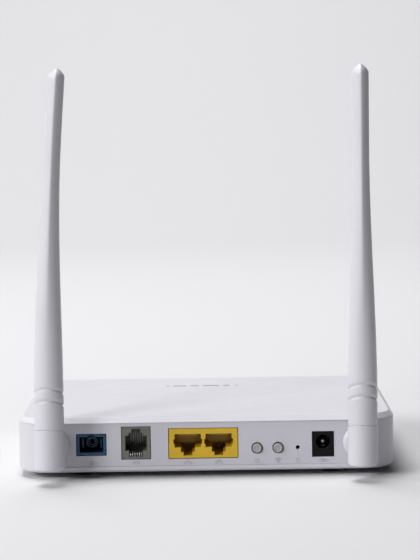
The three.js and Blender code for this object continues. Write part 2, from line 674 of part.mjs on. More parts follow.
function antennaBlade(bow) {
  const low = BASE_HIGH - 2;
  const shoulder = BLADE_TIP - TIP.height;
  const rows = [low, ...levels(TAPER.from, TAPER.to, 10), ...levels(shoulder, BLADE_TIP, 3)];
  const narrowed = (h) => 1 - TIP.narrowing * (Math.max(0, h - shoulder) / TIP.height) ** 2;
  const shape = (angle, h) => bladeRadius(angle, h) * narrowed(h);
  const outside = solid(bowed(shapedRod(rows, BLADE_SIDES, shape), bow));
  const below = leaningSlab(-BASE_HIGH, BASE_HIGH + GAP, SEAM_SLOPE);
  const spigot = rodZ(SPIGOT_RADIUS, SPIGOT_LOW, BASE_HIGH + 3, 0, PIN_Y, 20);
  const bores = [
    bowedRod(FEED_BORE.radius, SPIGOT_LOW - 1, FEED_BORE.to, bow),
    bowedRod(MAST_BORE.radius, MAST_BORE.from, MAST_BORE.to, bow),
  ];
  return cut(joined(cut(outside, below), spigot), ...bores, ...GROOVE.heights.map(leaningGroove));
}

function antennaElement(bow) {
  return joined(
    bowedRod(0.9, SPIGOT_LOW + 2, 82, bow, 6),
    bowedRod(1.4, 78, 108, bow, 6),
    bowedRod(0.7, 104, 140, bow, 6),
  );
}

function antennaBase() {
  const [r, rim] = [BASE_RADIUS, 1.2];
  const profile = [
    [0, BASE_LOW],
    ...arc(r - rim, BASE_LOW + rim, rim, -Math.PI / 2, 0, 3),
    [r, BASE_HIGH + 2], [0, BASE_HIGH + 2],
  ];
  const above = leaningSlab(BASE_HIGH, 3 * BASE_HIGH, SEAM_SLOPE);
  const body = cut(turnedZ(profile, 0, PIN_Y, 24), above);
  const slot = TONGUE_HALF + GAP + 0.1;
  const reach = TONGUE_RADIUS + 0.6;
  const far = 12;
  return cut(
    body,
    rodX(reach, -slot, slot, PIN_Y, 0),
    block(-slot, slot, PIN_Y, PIN_Y + far, -far, reach),
    block(-slot, slot, PIN_Y - reach, PIN_Y + far, -far, 0),
    rodX(PIN_RADIUS + GAP, -far, far, PIN_Y, 0, 16),
    rodZ(SPIGOT_RADIUS + GAP, SPIGOT_LOW - GAP, BASE_HIGH + 2, 0, PIN_Y, 20),
    rodZ(1.5, 0, BASE_HIGH, 0, PIN_Y, 12),
  );
}

const NECK_BACK = 5.4;
const CLIP = { y0: 2.8, y1: 4, inner: 5, outer: 6.8 };

// The neck turns in the panel. Its tongue reaches into the antenna's slot and carries the tilt pin.
function antennaBoss() {
  const groove = CLIP.inner - GAP;
  const dome = arc(0, 0, 1, Math.PI / 2, 0, 5).map(([along, out]) => {
    return [COLLAR.radius - COLLAR.round * (1 - along), -GAP - COLLAR.rise * out];
  });
  const profile = [
    [0, dome[0][1]], ...dome, [NECK_RADIUS, -GAP], [NECK_RADIUS, CLIP.y0 - GAP], [groove, CLIP.y0 - GAP],
    [groove, CLIP.y1 + GAP], [NECK_RADIUS, CLIP.y1 + GAP], [NECK_RADIUS - 0.5, NECK_BACK], [0, NECK_BACK],
  ];
  const neck = turnedY(profile, 0, 0, 24);
  const tongue = block(-TONGUE_HALF, TONGUE_HALF, PIN_Y, -2, -TONGUE_RADIUS, TONGUE_RADIUS);
  const end = rodX(TONGUE_RADIUS, -TONGUE_HALF, TONGUE_HALF, PIN_Y, 0);
  const leadBore = rodY(1.6, -1.5, NECK_BACK + 1, 0, 0, 16);
  const pinHole = rodX(PIN_RADIUS + GAP, -10, 10, PIN_Y, 0, 16);
  return cut(joined(neck, tongue, end), leadBore, pinHole);
}

function bossClip() {
  const { y0, y1, inner, outer } = CLIP;
  const ring = cut(rodY(outer, y0, y1, 0, 0, 28), rodY(inner, y0 - 1, y1 + 1, 0, 0, 28));
  return cut(ring, block(-3, 3, y0 - 1, y1 + 1, 0, outer + 1));
}

function hingePin() {
  return rodX(PIN_RADIUS, -BASE_RADIUS + 0.6, BASE_RADIUS - 0.6, PIN_Y, 0, 16);
}

function antenna(side, lean, bow) {
  const group = new THREE.Group();
  group.position.set(side === "left" ? -NECK_X : NECK_X, 0, NECK_Z);
  group.rotation.y = THREE.MathUtils.degToRad(lean);
  place(`antenna_boss_${side}`, antennaBoss(), "whiteShell", group);
  place(`boss_clip_${side}`, bossClip(), "steel", group);
  place(`hinge_pin_${side}`, hingePin(), "steel", group);
  place(`antenna_base_${side}`, antennaBase(), "whiteShell", group);
  place(`antenna_blade_${side}`, antennaBlade(bow), "whiteShell", group);
  place(`antenna_element_${side}`, antennaElement(bow), "gold", group);
  assembly.add(group);
}

antenna("left", LEAN_LEFT, BOW_LEFT);
antenna("right", 0, 0);

// ---- Antenna leads ------------------------------------------------------------------------------

const LEAD_RADIUS = 0.65;
const LEAD_PLUG = { x: 62, y: 34, top: JACK_BOTTOM + 2.6 };
const LEAD_ROUTE = [
  [LEAD_PLUG.x, LEAD_PLUG.y, LEAD_PLUG.top + GAP], [62, 33.6, 14.3], [62.6, 28, 16.8], [64, 21, 17],
  [66.4, 14.5, 16], [68, 9.6, 15.2], [NECK_X, 6.4, NECK_Z], [NECK_X, 3.6, NECK_Z],
];

function leadPlug(mirror) {
  return rodZ(1.6, JACK_BOTTOM, LEAD_PLUG.top, mirror * LEAD_PLUG.x, LEAD_PLUG.y, 16);
}

function lead(mirror) {
  const points = LEAD_ROUTE.map(([x, y, z]) => new THREE.Vector3(mirror * x, y, z));
  const extrudePath = new THREE.CatmullRomCurve3(points);
  const section = new THREE.Shape();
  section.absarc(0, 0, LEAD_RADIUS, 0, 2 * Math.PI);
  return solid(new THREE.ExtrudeGeometry(section, { steps: 14, curveSegments: 4, extrudePath }));
}

[["left", -1], ["right", 1]].forEach(([side, mirror]) => {
  place(`lead_plug_${side}`, leadPlug(mirror), "gold");
  place(`antenna_lead_${side}`, lead(mirror), "black");
});

// The origin is under the middle of everything, antennas included.
assembly.position.y = -(CASE_DEPTH + PIN_Y - BASE_RADIUS) / 2;
assembly.updateMatrixWorld(true);

export default assembly;
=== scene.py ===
"""The looks of the optical network terminal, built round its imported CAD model.

Metres, +Z up. The sockets and antennas face -Y, and the indicator windows face +Y.
"""
import math

import bmesh
import bpy
from mathutils import Euler, Matrix, Quaternion, Vector


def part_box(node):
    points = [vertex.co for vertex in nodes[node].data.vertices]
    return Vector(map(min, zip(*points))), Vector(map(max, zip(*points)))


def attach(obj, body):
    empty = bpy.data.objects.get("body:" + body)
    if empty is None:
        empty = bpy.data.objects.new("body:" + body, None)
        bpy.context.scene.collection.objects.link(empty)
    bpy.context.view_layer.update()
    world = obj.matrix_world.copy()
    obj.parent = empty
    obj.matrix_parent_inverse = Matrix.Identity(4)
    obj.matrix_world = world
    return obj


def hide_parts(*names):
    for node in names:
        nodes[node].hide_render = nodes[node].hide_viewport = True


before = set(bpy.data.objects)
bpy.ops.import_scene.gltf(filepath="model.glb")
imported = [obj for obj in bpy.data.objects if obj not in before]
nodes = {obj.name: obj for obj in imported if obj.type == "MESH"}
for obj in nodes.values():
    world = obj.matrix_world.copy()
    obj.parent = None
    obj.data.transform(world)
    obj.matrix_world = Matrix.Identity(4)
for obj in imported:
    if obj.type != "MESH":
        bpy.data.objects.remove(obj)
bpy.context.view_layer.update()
scene = bpy.context.scene
MM = 0.001

PANEL_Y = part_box("rear_panel")[0].y     # outer face of the rear panel
LID_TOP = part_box("top_cover")[1].z


# ---- Materials ----------------------------------------------------------------------------------

def add(tree, kind, **inputs):
    """A shader node with its plain input values set."""
    made = tree.nodes.new("ShaderNode" + kind)
    for name, value in inputs.items():
        made.inputs[name.replace("_", " ")].default_value = value
    return made


def join(tree, source, target):
    tree.links.new(source, target)


def shade(colour, factor):
    return tuple(min(1.0, channel * factor) for channel in colour[:3]) + (1,)


def cloud(tree, place, scale, detail=3):
    """The output of a noise of so many features per metre."""
    noise = add(tree, "TexNoise", Scale=scale, Detail=detail)
    join(tree, place, noise.inputs["Vector"])
    return noise.outputs[0]


def spread(tree, source, low, high):
    """Takes the usual range of a noise to low..high."""
    fade = add(tree, "MapRange", From_Min=0.3, From_Max=0.7, To_Min=low, To_Max=high)
    join(tree, source, fade.inputs["Value"])
    return fade.outputs["Result"]


def blend_of(tree, source, low_colour, high_colour, low=0.3, high=0.7):
    ramp = add(tree, "ValToRGB")
    for stop, (position, colour) in zip(ramp.color_ramp.elements, ((low, low_colour), (high, high_colour))):
        stop.position = position
        stop.color = colour
    join(tree, source, ramp.inputs["Fac"])
    return ramp.outputs["Color"]


SCUFF_AND_GLINT_RADIUS = 0.35                     # mm, how far the lighter edges reach: wear, and a painted highlight along the edge


def edges(tree, radius):
    """How much of an edge a point is: 0 on a flat face, up to 1 on a sharp edge."""
    rounded = add(tree, "Bevel", Radius=radius * MM)
    rounded.samples = 4
    flat = add(tree, "NewGeometry")
    dot = add(tree, "VectorMath")
    dot.operation = "DOT_PRODUCT"
    join(tree, rounded.outputs["Normal"], dot.inputs[0])
    join(tree, flat.outputs["Normal"], dot.inputs[1])
    fade = add(tree, "MapRange", From_Min=0.99, From_Max=0.75, To_Min=0, To_Max=1)
    join(tree, dot.outputs["Value"], fade.inputs["Value"])
    return fade.outputs["Result"]


def finish(name, colour, roughness, metallic=0.0, tone=0.03, gloss=0.06, patches=45,
           grain=1400, height=0.02, stretch=(1, 1, 1), wear_and_glint=0.0, wear_and_glint_colour=None, **shader_values):
    """Moulded plastic, metal or rubber: mottled colour and gloss, a fine grain, and edges lightened by wear
    and by a painted highlight.
    """
    made = bpy.data.materials.new(name)
    made.use_nodes = True
    tree = made.node_tree
    shader = tree.nodes["Principled BSDF"]
    shader.inputs["Metallic"].default_value = metallic
    for socket, value in shader_values.items():
        shader.inputs[socket.replace("_", " ")].default_value = value
    coordinates = add(tree, "TexCoord")
    mapping = add(tree, "Mapping", Scale=stretch)
    join(tree, coordinates.outputs["Object"], mapping.inputs["Vector"])
    place = mapping.outputs["Vector"]

    base = blend_of(tree, cloud(tree, place, patches), shade(colour, 1 - tone), shade(colour, 1 + tone))
    # Sharp edges are lightened: partly wear, partly a painted highlight where light catches the edge.
    if wear_and_glint:
        scuffs_and_glints = add(tree, "Math")
        scuffs_and_glints.operation = "MULTIPLY"
        join(tree, edges(tree, SCUFF_AND_GLINT_RADIUS), scuffs_and_glints.inputs[0])
        join(tree, spread(tree, cloud(tree, place, 6 * patches), 0, wear_and_glint), scuffs_and_glints.inputs[1])
        rubbed_and_glinting = add(tree, "MixRGB", Color2=wear_and_glint_colour or shade(colour, 1.6))
        join(tree, scuffs_and_glints.outputs["Value"], rubbed_and_glinting.inputs["Fac"])
        join(tree, base, rubbed_and_glinting.inputs["Color1"])
        base = rubbed_and_glinting.outputs["Color"]
    join(tree, base, shader.inputs["Base Color"])
    smears = cloud(tree, place, 2.3 * patches, 5)
    join(tree, spread(tree, smears, roughness - gloss, roughness + gloss), shader.inputs["Roughness"])
    bump = add(tree, "Bump", Strength=0.6, Distance=height * MM)
    join(tree, cloud(tree, place, grain, 2), bump.inputs["Height"])
    join(tree, bump.outputs["Normal"], shader.inputs["Normal"])
    return made


def board_finish(name):
    """Solder mask over copper tracks, with a row of pads showing through."""
    made = finish(name, (0.012, 0.10, 0.045, 1), 0.38, tone=0.1, grain=2500, height=0.01)
    tree = made.node_tree
    shader = tree.nodes["Principled BSDF"]
    coordinates = add(tree, "TexCoord")
    tracks = add(tree, "TexBrick", Color1=(0.010, 0.095, 0.042, 1), Color2=(0.014, 0.115, 0.052, 1),
                 Mortar=(0.045, 0.25, 0.10, 1), Scale=1, Brick_Width=0.0052, Row_Height=0.0017,
                 Mortar_Size=0.00022, Mortar_Smooth=0.1)
    join(tree, coordinates.outputs["Object"], tracks.inputs["Vector"])
    pads = add(tree, "TexVoronoi", Scale=170)
    join(tree, coordinates.outputs["Object"], pads.inputs["Vector"])
    ring = add(tree, "MapRange", From_Min=0.16, From_Max=0.12)
    join(tree, pads.outputs["Distance"], ring.inputs["Value"])
    tinned = add(tree, "MixRGB", Color2=(0.62, 0.60, 0.50, 1))
    join(tree, ring.outputs["Result"], tinned.inputs["Fac"])
    join(tree, tracks.outputs["Color"], tinned.inputs["Color1"])
    join(tree, tinned.outputs["Color"], shader.inputs["Base Color"])
    join(tree, ring.outputs["Result"], shader.inputs["Metallic"])
    return made


SHELL = (0.600, 0.592, 0.634, 1)
PANEL = (0.552, 0.543, 0.596, 1)

FINISHES = {
    "white_shell": finish("white_shell", SHELL, 0.36, tone=0.012, gloss=0.05, patches=30, height=0.015),
    "white_panel": finish("white_panel", PANEL, 0.46, tone=0.02, gloss=0.05, patches=40, height=0.02),
    "foot_rubber": finish("foot_rubber", (0.022, 0.022, 0.024, 1), 0.82, tone=0.25, grain=2200, height=0.06,
                          wear_and_glint=0.6, wear_and_glint_colour=(0.10, 0.10, 0.10, 1)),
    "steel": finish("steel", (0.60, 0.60, 0.61, 1), 0.28, 1.0, tone=0.08, gloss=0.1, patches=220,
                    grain=900, height=0.012, stretch=(1, 1, 6)),
    "contact_gold": finish("contact_gold", (0.80, 0.56, 0.20, 1), 0.25, 1.0, tone=0.08, gloss=0.08,
                           patches=300, grain=2600, height=0.005),
    "circuit_board": board_finish("circuit_board"),
    "fibre_blue": finish("fibre_blue", (0.016, 0.074, 0.155, 1), 0.36, tone=0.1, patches=150, height=0.02,
                         wear_and_glint=0.45, wear_and_glint_colour=(0.05, 0.16, 0.26, 1), Specular_IOR_Level=0.35),
    "phone_grey": finish("phone_grey", (0.142, 0.145, 0.120, 1), 0.44, tone=0.08, patches=150, height=0.025,
                         wear_and_glint=0.6, wear_and_glint_colour=(0.36, 0.36, 0.33, 1)),
    "lan_yellow": finish("lan_yellow", (0.62, 0.40, 0.012, 1), 0.40, tone=0.07, patches=130, height=0.025,
                         wear_and_glint=0.45, wear_and_glint_colour=(0.85, 0.60, 0.08, 1)),
    # The black plastic's lighter edges are a painted highlight: the bright arcs round the rim of the supply
    # socket's hole and the lighter outer edges.
    "black_plastic": finish("black_plastic", (0.0035, 0.0035, 0.004, 1), 0.42, tone=0.2, patches=160,
                            height=0.03, wear_and_glint=0.6, wear_and_glint_colour=(0.10, 0.10, 0.105, 1),
                            Specular_IOR_Level=0.15),
    "wire_silver": finish("wire_silver", (0.46, 0.45, 0.43, 1), 0.30, 1.0, tone=0.08, patches=300,
                          height=0.006),
    "pin_metal": finish("pin_metal", (0.26, 0.26, 0.27, 1), 0.34, 1.0, tone=0.1, patches=300, height=0.008),
    "button_grey": finish("button_grey", (0.36, 0.36, 0.36, 1), 0.34, tone=0.05, patches=300, grain=2600,
                          height=0.03, wear_and_glint=0.4, wear_and_glint_colour=(0.62, 0.62, 0.61, 1)),
    "ceramic": finish("ceramic", (0.22, 0.25, 0.30, 1), 0.16, tone=0.02, gloss=0.03, patches=400,
                      grain=3000, height=0.003, Coat_Weight=0.4),
    "aluminium": finish("aluminium", (0.50, 0.51, 0.53, 1), 0.36, 1.0, tone=0.08, gloss=0.1, patches=160,
                        grain=700, height=0.02, stretch=(8, 1, 1)),
    "clear_plastic": finish("clear_plastic", (0.86, 0.90, 0.90, 1), 0.16, tone=0.02, gloss=0.05,
                            patches=200, grain=1500, height=0.008, Transmission_Weight=0.85, IOR=1.49),
    "label_film": finish("label_film", (0.66, 0.66, 0.665, 1), 0.30, tone=0.02, gloss=0.08, patches=90,
                         grain=500, height=0.01),
    "print_grey": finish("print_grey", (0.20, 0.20, 0.215, 1), 0.5, tone=0.1, patches=300, height=0.01),
    "print_orange": finish("print_orange", (0.62, 0.20, 0.03, 1), 0.5, tone=0.08, patches=300, height=0.01),
    # The marks' finish is darker than the panel: painted shade standing in for the shading round their
    # raised edges.
    "emboss": finish("emboss", (0.44, 0.431, 0.478, 1), 0.50, tone=0.03, patches=200, height=0.01),
}

WEAR = {
    "white_shell": ["bottom_case", "top_cover", "antenna_base_left", "antenna_base_right",
                    "antenna_boss_left", "antenna_boss_right"],
    "white_panel": ["rear_panel"],
    "foot_rubber": [f"rubber_foot_{i}" for i in (1, 2, 3, 4)],
    "steel": [f"case_screw_{i}" for i in (1, 2, 3, 4)] + [
        "board_screw_1", "board_screw_2", "optical_transceiver", "dc_spring", "rj11_contacts",
        "wifi_shield", "boss_clip_left", "boss_clip_right", "hinge_pin_left", "hinge_pin_right"],
    "pin_metal": ["dc_pin"],
    "contact_gold": ["rj45_contacts_1", "rj45_contacts_2", "antenna_element_left",
                     "antenna_element_right", "lead_plug_left", "lead_plug_right"],
    "circuit_board": ["main_board"],
    "fibre_blue": ["sc_adapter"],
    "phone_grey": ["rj11_jack"],
    "lan_yellow": ["rj45_jack"],
    "black_plastic": ["dc_jack", "power_switch", "wifi_switch", "reset_switch", "reset_plunger",
                      "processor", "memory_chip", "lan_transformer", "phone_line_chip", "capacitor_1",
                      "capacitor_2", "antenna_lead_left", "antenna_lead_right"],
    "button_grey": ["power_button", "wifi_button"],
    "ceramic": ["ferrule_sleeve"],
    "aluminium": ["heat_sink", "power_inductor"],
    "clear_plastic": ["light_guide"],
    "label_film": ["rating_plate"],
}

EDGE = 0.15                             # mm, the moulded radius on most pieces
EDGES = {
    "top_cover": 0.45, "bottom_case": 0.35, "rear_panel": 0.1, "rj45_jack": 0.08, "rj11_jack": 0.1,
    "sc_adapter": 0.12, "dc_jack": 0.12, "power_button": 0.12, "wifi_button": 0.12,
    "antenna_base_left": 0.25, "antenna_base_right": 0.25, "antenna_boss_left": 0.3,
    "antenna_boss_right": 0.3,
}
EDGE_SEGMENTS = 3
WELD_DISTANCE = 0.005                   # mm
# In degrees: faces are joined below the first, and edges are rounded above the second.
FLAT_ANGLE, EDGE_ANGLE = 0.5, 33


def dress(name, material):
    """Gives a CAD node its finish, and takes the sharpness off its edges."""
    piece = nodes[name]
    piece.data.materials.clear()
    piece.data.materials.append(material)
    weld = piece.modifiers.new("weld", "WELD")
    weld.merge_threshold = WELD_DISTANCE * MM
    flat = piece.modifiers.new("flat", "DECIMATE")
    flat.decimate_type = "DISSOLVE"
    flat.angle_limit = math.radians(FLAT_ANGLE)
    edge = piece.modifiers.new("edge", "BEVEL")
    edge.limit_method = "ANGLE"
    edge.angle_limit = math.radians(EDGE_ANGLE)
    edge.width = EDGES.get(name, EDGE) * MM
    edge.segments = EDGE_SEGMENTS
    smooth = piece.modifiers.new("smooth", "WEIGHTED_NORMAL")
    smooth.keep_sharp = False


for finish_name, names in WEAR.items():
    for node_name in names:
        dress(node_name, FINISHES[finish_name])


# ---- Mesh helpers -------------------------------------------------------------------------------

def piece_of(name, vertices, faces, finish_name, body, sharp=40, slot=None):
    """A closed mesh in millimetres in the row frame, as a piece that moves with a body."""
    mesh = bpy.data.meshes.new(name)
    mesh.from_pydata([Vector(v) * MM for v in vertices], [], faces)
    work = bmesh.new()
    work.from_mesh(mesh)
    bmesh.ops.recalc_face_normals(work, faces=work.faces)
    for face in work.faces:
        face.smooth = True
    for line in work.edges:
        line.smooth = line.calc_face_angle(0) < math.radians(sharp)
    work.to_mesh(mesh)
    work.free()
    mesh.materials.append(FINISHES[finish_name])
    made = bpy.data.objects.new(name, mesh)
    scene.collection.objects.link(made)
    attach(made, body)
    return made


def skin(rings):
    """Vertices and faces of the closed form through rings of as many points each."""
    count = len(rings[0])
    vertices = [point for ring in rings for point in ring]
    faces = []
    for level in range(len(rings) - 1):
        for i in range(count):
            a, b = level * count + i, level * count + (i + 1) % count
            faces.append((a, b, b + count, a + count))
    last = (len(rings) - 1) * count
    faces.append(tuple(reversed(range(count))))
    faces.append(tuple(range(last, last + count)))
    return vertices, faces


# ---- Antennas -----------------------------------------------------------------------------------

# The driving dimensions of the antennas, in mm. They are those of the CAD model, except that the
# grooves are a little wider and deeper, and the seam and the tip run slightly past its ends.
NECK_X, NECK_Z, PIN_Y = 68.5, 15, -13.2
BASE_HIGH, BLADE_TIP, SEAM_SLOPE = 9.3, 166.6, 0.176
ROOT_RADIUS = 6.45
TAPER_FROM, TAPER_TO, TAPER_X, TAPER_Y = 22, 130, 2.85, 2.4
RIDGE_FROM, RIDGE_TO, RIDGE_SHARPEST = 52, 115, 1.45
GROOVES, GROOVE_SLOPE, GROOVE_HALF, GROOVE_DEPTH = (20.6, 25.7), 0.485, 0.62, 0.62
TIP_HEIGHT, TIP_NARROWING = 4.2, 0.85
BOW_START = 28
SIDES = 144
# Rings just above the seam: height above it, and share of the full section.
SEAM_RISE, SEAM_ROUND = 0.07, [(0, 0.965), (0.08, 0.988), (0.25, 1)]
LOW_LEVELS = (11, 13, 15, 17, 18.5)
GROOVE_STEP, GROOVE_STEPS, PAST_GROOVE = 0.12, 12, 2.5
BLADE_FROM, BLADE_STEP, BLADE_STEPS = 30, 3.4, 40
SHOULDER_GAP, TIP_STEPS, TIP_PAST, TIP_SHARE = 0.3, 16, 0.05, 0.08
LEAN_MARGIN, LEAN_FADE = 1.5, 30
ANTENNAS = {"left": (-NECK_X, math.radians(0.5), 5.4), "right": (NECK_X, 0, 0)}


def clamped(value):
    return min(1, max(0, value))


def eased(value, low, high):
    t = clamped((value - low) / (high - low))
    return t * t * (3 - 2 * t)


def blade_halves(h):
    t = eased(h, TAPER_FROM, TAPER_TO)
    return ROOT_RADIUS - TAPER_X * t, ROOT_RADIUS - TAPER_Y * t


def blade_radius(angle, h):
    half_x, half_y = blade_halves(h)
    t = clamped((h - RIDGE_FROM) / (RIDGE_TO - RIDGE_FROM))
    power = 2 - (2 - RIDGE_SHARPEST) * (1 - (1 - t) ** 2)
    flat = (abs(math.cos(angle)) / half_x) ** power + (abs(math.sin(angle)) / half_y) ** power
    return flat ** (-1 / power)


def ring_slope(level):
    """How far the rings lean: like the seam, then like the grooves, then not at all."""
    rise = SEAM_SLOPE + (GROOVE_SLOPE - SEAM_SLOPE) * eased(level, BASE_HIGH + 1, GROOVES[0] - LEAN_MARGIN)
    return rise * (1 - eased(level, GROOVES[1] + LEAN_MARGIN, GROOVES[1] + LEAN_FADE))


def groove_depth(level):
    return sum(GROOVE_DEPTH * math.exp(-((level - groove) / GROOVE_HALF) ** 2) for groove in GROOVES)


def blade_levels():
    """Heights of the rings, and how much of the full section each has."""
    seam = BASE_HIGH + SEAM_RISE
    rows = [(seam + rise, share) for rise, share in SEAM_ROUND]
    rows += [(level, 1) for level in LOW_LEVELS]
    for groove in GROOVES:
        rows += [(groove + step * GROOVE_STEP, 1) for step in range(-GROOVE_STEPS, GROOVE_STEPS + 1)]
        rows += [(groove + PAST_GROOVE, 1)]
    rows += [(BLADE_FROM + BLADE_STEP * step, 1) for step in range(BLADE_STEPS)]
    shoulder = BLADE_TIP - TIP_HEIGHT
    rows = [row for row in rows if row[0] < shoulder - SHOULDER_GAP]
    parts = [step / TIP_STEPS for step in range(TIP_STEPS + 1)]
    rows += [(shoulder + TIP_HEIGHT * part, 1 - TIP_NARROWING * part ** 2) for part in parts]
    return rows + [(BLADE_TIP + TIP_PAST, TIP_SHARE)]


def antenna_blade(side):
    x0, lean, bow = ANTENNAS[side]
    place = Matrix.Translation((x0, PANEL_Y / MM, NECK_Z)) @ Matrix.Rotation(lean, 4, "Y")
    rings = []
    for level, share in sorted(blade_levels()):
        slope, depth = ring_slope(level), groove_depth(level)
        ring = []
        for i in range(SIDES):
            angle = 2 * math.pi * i / SIDES
            r = blade_radius(angle, level) * share - depth
            x, y = r * math.cos(angle), r * math.sin(angle)
            h = level - slope * y
            along = max(0, (h - BOW_START) / (BLADE_TIP - BOW_START))
            ring.append(place @ Vector((x + bow * along * along, PIN_Y + y, h)))
        rings.append(ring)
    vertices, faces = skin(rings)
    blade = piece_of(f"blade_{side}", vertices, faces, "white_shell", f"antenna_{side}")
    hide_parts(f"antenna_blade_{side}")


for antenna_side in ANTENNAS:
    antenna_blade(antenna_side)


# ---- Buttons and sockets ------------------------------------------------------------------------

def turned_y(profile, x, z, sides=72):
    """Vertices and faces of a form turned about an axis along Y. The profile is (radius, y) points."""
    turns = [2 * math.pi * i / sides for i in range(sides)]
    rings = []
    for radius, y in profile:
        ring = [(x + radius * math.cos(t), PANEL_Y / MM + y, z + radius * math.sin(t)) for t in turns]
        rings.append(ring)
    return skin(rings)


BUTTON_Z = 12.9
BUTTONS = {"power": 22.5, "wifi": 31.8}
# A dished cap with a turned ring in its face and a rounded rim, then the flange and the stem.
CAP_PROFILE = [
    (0.02, -1.06), (0.80, -1.06), (0.86, -1.0), (0.98, -1.0), (1.04, -1.07), (1.38, -1.1), (1.52, -1.2),
    (1.66, -1.24), (1.80, -1.2), (1.92, -1.08), (2.0, -0.9), (2.04, -0.6), (2.04, 2.7), (3.0, 2.7),
    (3.0, 3.5), (1.0, 3.5), (1.0, 11), (0.02, 11),
]

for key, key_x in BUTTONS.items():
    cap = piece_of(f"{key}_cap", *turned_y(CAP_PROFILE, key_x, BUTTON_Z), "button_grey", f"{key}_key")
    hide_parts(f"{key}_button")


def between(p, q, r, u, t):
    """The Catmull-Rom value at t from q to r, with p before them and u after them."""
    square = (2 * p - 5 * q + 4 * r - u) * t * t
    cube = (3 * q - p - 3 * r + u) * t ** 3
    return 0.5 * (2 * q + (r - p) * t + square + cube)


def smooth_path(points, steps=6):
    """A finer path through 2D points."""
    padded = [points[0], *points, points[-1]]
    path = []
    for a, b, c, d in zip(padded, padded[1:], padded[2:], padded[3:]):
        for i in range(steps):
            t = i / steps
            path.append(tuple(between(p, q, r, u, t) for p, q, r, u in zip(a, b, c, d)))
    return path + [points[-1]]


def wire(x, path, radius, sides=10):
    """A round wire whose path is (y, z) points behind the panel's face."""
    rings = []
    for i, point in enumerate(path):
        before, after = path[max(0, i - 1)], path[min(len(path) - 1, i + 1)]
        along = (Vector(after) - Vector(before)).normalized()
        across = Vector((-along.y, along.x))
        ring = []
        for side in range(sides):
            t = 2 * math.pi * side / sides
            y, z = Vector(point) + across * radius * math.sin(t)
            ring.append((x + radius * math.cos(t), PANEL_Y / MM + y, z))
        rings.append(ring)
    return skin(rings)


def merged(parts):
    vertices, faces = [], []
    for part_vertices, part_faces in parts:
        start = len(vertices)
        vertices += part_vertices
        faces += [tuple(start + i for i in face) for face in part_faces]
    return vertices, faces


WIRE_PITCH = 1.02
PHONE_X, PHONE_WIRES, PHONE_WIRE_RADIUS = -31.2, 6, 0.22
# Each phone wire starts low in the socket's mouth, rises towards the rear below the room for the plug,
# and runs up the rear wall.
PHONE_PATH = [
    (0.65, 9.5), (0.75, 10.4), (1.3, 11.4), (3.0, 12.3), (7.5, 12.9), (10.8, 13.25), (11.9, 13.5),
    (12.26, 14.3), (12.26, 18.6),
]
phone_xs = [PHONE_X + (i - (PHONE_WIRES - 1) / 2) * WIRE_PITCH for i in range(PHONE_WIRES)]
phone_path = smooth_path(PHONE_PATH)
phone_mesh = merged([wire(x, phone_path, PHONE_WIRE_RADIUS) for x in phone_xs])
phone_wires = piece_of("phone_wires", *phone_mesh, "wire_silver", "case", slot="steel")
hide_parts("rj11_contacts")

# The black carrier over the contacts of each network socket, with a slot for each wire. It is also painted
# shade: a dark piece that darkens the top of each socket's mouth, where the contacts' shadow falls.
LAN_XS, LAN_WIRES = (-8.2, 5.5), 8
SHADE_CARRIER_HALF, SHADE_CARRIER_LOW, SHADE_CARRIER_ROOT, SHADE_CARRIER_HIGH = 5.6, 18.95, 19.2, 19.55
SHADE_CARRIER_FRONT, SHADE_CARRIER_BACK, SLOT_HALF = 1.1, 8.0, 0.26


def shade_carrier_outline(x):
    """The (x, z) outline: plain above, toothed below."""
    outline = [(x - SHADE_CARRIER_HALF, SHADE_CARRIER_HIGH), (x - SHADE_CARRIER_HALF, SHADE_CARRIER_LOW)]
    for i in range(LAN_WIRES):
        slot_x = x + (i - (LAN_WIRES - 1) / 2) * WIRE_PITCH
        low, high = slot_x - SLOT_HALF, slot_x + SLOT_HALF
        outline += [(low, SHADE_CARRIER_LOW), (low, SHADE_CARRIER_ROOT), (high, SHADE_CARRIER_ROOT), (high, SHADE_CARRIER_LOW)]
    return outline + [(x + SHADE_CARRIER_HALF, SHADE_CARRIER_LOW), (x + SHADE_CARRIER_HALF, SHADE_CARRIER_HIGH)]


for number, lan_x in enumerate(LAN_XS, 1):
    outline = shade_carrier_outline(lan_x)
    rows = [[(x, PANEL_Y / MM + y, z) for x, z in outline] for y in (SHADE_CARRIER_FRONT, SHADE_CARRIER_BACK)]
    piece_of(f"shade_contact_carrier_{number}", *skin(rows), "black_plastic", "case")


# ---- Marks --------------------------------------------------------------------------------------

def ribbon(points, width, closed=False):
    """Both edges of a line of some width through 2D points."""
    count = len(points)
    edges_out = []
    for i, point in enumerate(points):
        before = points[(i - 1) % count] if closed or i else point
        after = points[(i + 1) % count] if closed or i < count - 1 else point
        along = (Vector(after) - Vector(before)).normalized()
        across = Vector((-along.y, along.x)) * width / 2
        edges_out.append((Vector(point) + across, Vector(point) - across))
    return edges_out


STROKE_SUNK = 0.05                      # mm below the surface
STROKE_SLANT = 0.12                     # share of a stroke's width that each side slopes over


def raised(strokes, to_world, height):
    """Vertices and faces of strokes standing height proud of a surface, sunk a little into it."""
    vertices, faces = [], []
    for points, width, closed in strokes:
        pairs = ribbon(points, width, closed)
        start = len(vertices)
        for left, right in pairs:
            inner_left = left.lerp(right, STROKE_SLANT)
            inner_right = right.lerp(left, STROKE_SLANT)
            vertices += [to_world(left, -STROKE_SUNK), to_world(inner_left, height)]
            vertices += [to_world(inner_right, height), to_world(right, -STROKE_SUNK)]
        count = len(pairs)
        for i in range(count if closed else count - 1):
            a, b = start + 4 * i, start + 4 * ((i + 1) % count)
            faces += [(a + k, a + (k + 1) % 4, b + (k + 1) % 4, b + k) for k in range(4)]
        if not closed:
            end = start + 4 * (count - 1)
            faces += [(start, start + 3, start + 2, start + 1), (end, end + 1, end + 2, end + 3)]
    return vertices, faces


